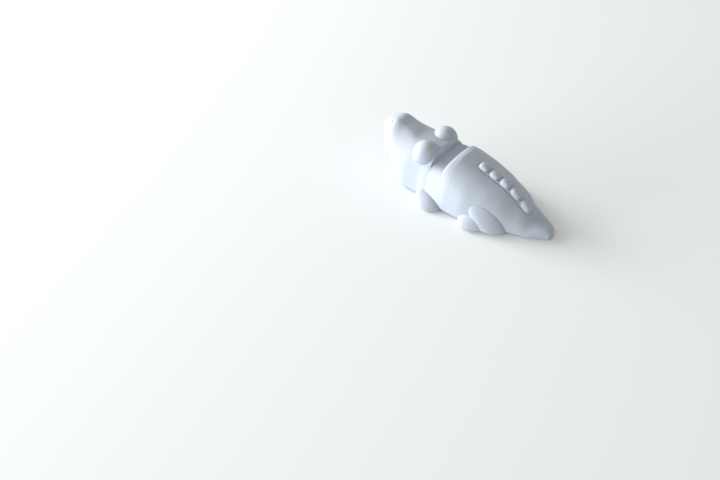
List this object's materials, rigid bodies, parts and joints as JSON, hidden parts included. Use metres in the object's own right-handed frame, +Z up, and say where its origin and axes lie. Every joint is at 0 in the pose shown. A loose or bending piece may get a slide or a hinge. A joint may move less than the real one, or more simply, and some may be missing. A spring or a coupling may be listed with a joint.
{
  "type": "toothbrush rest",
  "caption": "Small crocodile-shaped toothbrush rest in matte bisque ceramic, with a notch across the neck for a toothbrush and a row of scutes along the back.",
  "frame": {"origin": "on the table, under the middle of the animal's length and width", "axes": "+X towards the nose, +Y towards the animal's left side, +Z up"},
  "size_m": [0.0648, 0.0302, 0.0187],
  "materials": {
    "bisque": "matte"
  },
  "bodies": {
    "root": {"tail": "bisque", "trunk": "bisque", "neck": "bisque", "head": "bisque", "lower_jaw": "bisque", "eye_left": "bisque", "eye_right": "bisque", "crest_strip": "bisque", "crest_bump_1": "bisque", "crest_bump_2": "bisque", "crest_bump_3": "bisque", "crest_bump_4": "bisque", "crest_bump_5": "bisque", "front_foot_left": "bisque", "front_foot_right": "bisque", "thigh_left": "bisque", "thigh_right": "bisque", "rear_foot_left": "bisque", "rear_foot_right": "bisque"}
  },
  "joints": []
}
